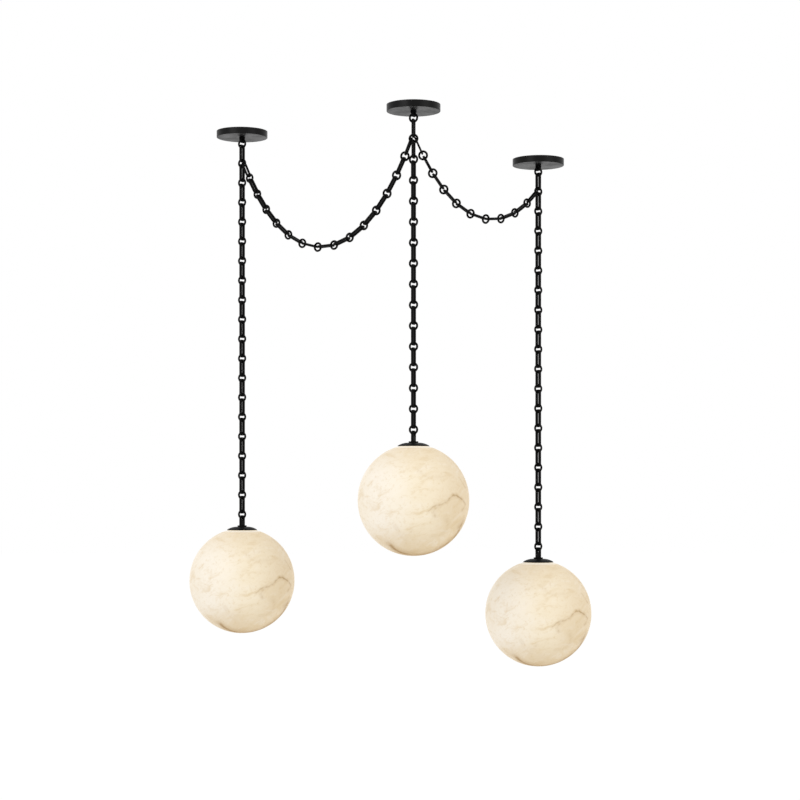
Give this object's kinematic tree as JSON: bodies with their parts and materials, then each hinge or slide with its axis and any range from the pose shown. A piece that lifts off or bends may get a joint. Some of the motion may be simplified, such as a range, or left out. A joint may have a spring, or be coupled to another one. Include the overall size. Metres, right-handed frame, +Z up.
{
  "type": "alabaster globe chandelier",
  "caption": "Hanging ceiling light: hollow alabaster globes on chains of round rings and flat slotted links, joined by swags of the same chain, with round canopies.",
  "frame": {"origin": "centre of the middle canopy's ceiling face", "axes": "+Z up, +X to the right and +Y away from someone who looks at the front view"},
  "size_m": [0.946, 0.516, 1.2787],
  "materials": {
    "black_metal": "satin black",
    "alabaster": "polished veined alabaster, lit from inside",
    "gasket": "clear silicone",
    "zinc_steel": "zinc plated",
    "terminal_plastic": "matte",
    "lampholder_plastic": "matte black",
    "lamp_glass": "opal"
  },
  "bodies": {
    "root": {"canopy_left": "black_metal", "canopy_loop_left": "black_metal", "canopy_loop_middle": "black_metal", "canopy_loop_right": "black_metal", "canopy_middle": "black_metal", "canopy_right": "black_metal", "crossbar_left": "zinc_steel", "crossbar_middle": "zinc_steel", "crossbar_right": "zinc_steel", "crossbar_screws": "zinc_steel", "hanging_nipples": "zinc_steel", "nipple_locknuts": "zinc_steel", "stem_couplings": "zinc_steel", "swag_end_links": "black_metal", "terminal_block_left": "terminal_plastic", "terminal_block_middle": "terminal_plastic", "terminal_block_right": "terminal_plastic", "top_links": "black_metal", "top_rings": "black_metal"},
    "upper_link_left": {"upper_link_left": "black_metal"},
    "chain_left": {"chain_rings_left": "black_metal", "chain_links_left": "black_metal"},
    "end_ring_left": {"end_ring_left": "black_metal"},
    "globe_left": {"globe_hanger_left": "black_metal", "globe_cap_left": "black_metal", "globe_gasket_left": "gasket", "globe_left": "alabaster", "holder_bar_left": "zinc_steel", "holder_nut_left": "zinc_steel", "lampholder_left": "lampholder_plastic", "lamp_left": "lamp_glass"},
    "upper_link_middle": {"upper_link_middle": "black_metal"},
    "chain_middle": {"chain_rings_middle": "black_metal", "chain_links_middle": "black_metal"},
    "end_ring_middle": {"end_ring_middle": "black_metal"},
    "globe_middle": {"globe_hanger_middle": "black_metal", "globe_cap_middle": "black_metal", "globe_gasket_middle": "gasket", "globe_middle": "alabaster", "holder_bar_middle": "zinc_steel", "holder_nut_middle": "zinc_steel", "lampholder_middle": "lampholder_plastic", "lamp_middle": "lamp_glass"},
    "upper_link_right": {"upper_link_right": "black_metal"},
    "chain_right": {"chain_rings_right": "black_metal", "chain_links_right": "black_metal"},
    "end_ring_right": {"end_ring_right": "black_metal"},
    "globe_right": {"globe_hanger_right": "black_metal", "globe_cap_right": "black_metal", "globe_gasket_right": "gasket", "globe_right": "alabaster", "holder_bar_right": "zinc_steel", "holder_nut_right": "zinc_steel", "lampholder_right": "lampholder_plastic", "lamp_right": "lamp_glass"},
    "swag_left": {"swag_rings_left": "black_metal", "swag_links_left": "black_metal"},
    "swag_right": {"swag_rings_right": "black_metal", "swag_links_right": "black_metal"}
  },
  "joints": [
    {"name": "left_chain_swing", "type": "hinge", "parent": "root", "child": "upper_link_left", "pos_m": [-0.404, 0.268, -0.13945], "axis": [0.8829, -0.4695, 0], "range_deg": [-8, 8]},
    {"name": "left_chain_sway", "type": "hinge", "parent": "upper_link_left", "child": "chain_left", "pos_m": [-0.404, 0.268, -0.17275], "axis": [0.4695, 0.8829, 0], "range_deg": [-8, 8]},
    {"name": "left_globe_sway", "type": "hinge", "parent": "chain_left", "child": "end_ring_left", "pos_m": [-0.404, 0.268, -0.91195], "axis": [0.4695, 0.8829, 0], "range_deg": [-12, 12]},
    {"name": "left_globe_swing", "type": "hinge", "parent": "end_ring_left", "child": "globe_left", "pos_m": [-0.404, 0.268, -0.92485], "axis": [0.8829, -0.4695, 0], "range_deg": [-12, 12]},
    {"name": "middle_chain_swing", "type": "hinge", "parent": "root", "child": "upper_link_middle", "pos_m": [0, 0, -0.13045], "axis": [0.9135, -0.4067, 0], "range_deg": [-8, 8]},
    {"name": "middle_chain_sway", "type": "hinge", "parent": "upper_link_middle", "child": "chain_middle", "pos_m": [0, 0, -0.16375], "axis": [0.4067, 0.9135, 0], "range_deg": [-8, 8]},
    {"name": "middle_globe_sway", "type": "hinge", "parent": "chain_middle", "child": "end_ring_middle", "pos_m": [0, 0, -0.71815], "axis": [0.4067, 0.9135, 0], "range_deg": [-12, 12]},
    {"name": "middle_globe_swing", "type": "hinge", "parent": "end_ring_middle", "child": "globe_middle", "pos_m": [0, 0, -0.73105], "axis": [0.9135, -0.4067, 0], "range_deg": [-12, 12]},
    {"name": "right_chain_swing", "type": "hinge", "parent": "root", "child": "upper_link_right", "pos_m": [0.294, 0.222, -0.21345], "axis": [0.866, 0.5, 0], "range_deg": [-8, 8]},
    {"name": "right_chain_sway", "type": "hinge", "parent": "upper_link_right", "child": "chain_right", "pos_m": [0.294, 0.222, -0.24675], "axis": [-0.5, 0.866, 0], "range_deg": [-8, 8]},
    {"name": "right_globe_sway", "type": "hinge", "parent": "chain_right", "child": "end_ring_right", "pos_m": [0.294, 0.222, -0.98595], "axis": [-0.5, 0.866, 0], "range_deg": [-12, 12]},
    {"name": "right_globe_swing", "type": "hinge", "parent": "end_ring_right", "child": "globe_right", "pos_m": [0.294, 0.222, -0.99885], "axis": [0.866, 0.5, 0], "range_deg": [-12, 12]},
    {"name": "left_swag_swing", "type": "hinge", "parent": "root", "child": "swag_left", "pos_m": [-0.38832, 0.25799, -0.11337], "axis": [0.8291, -0.5588, 0.0186], "range_deg": [-12, 12]},
    {"name": "right_swag_swing", "type": "hinge", "parent": "root", "child": "swag_right", "pos_m": [0.01774, 0.00788, -0.10319], "axis": [0.7657, 0.5972, -0.2388], "range_deg": [-6, 6]}
  ]
}
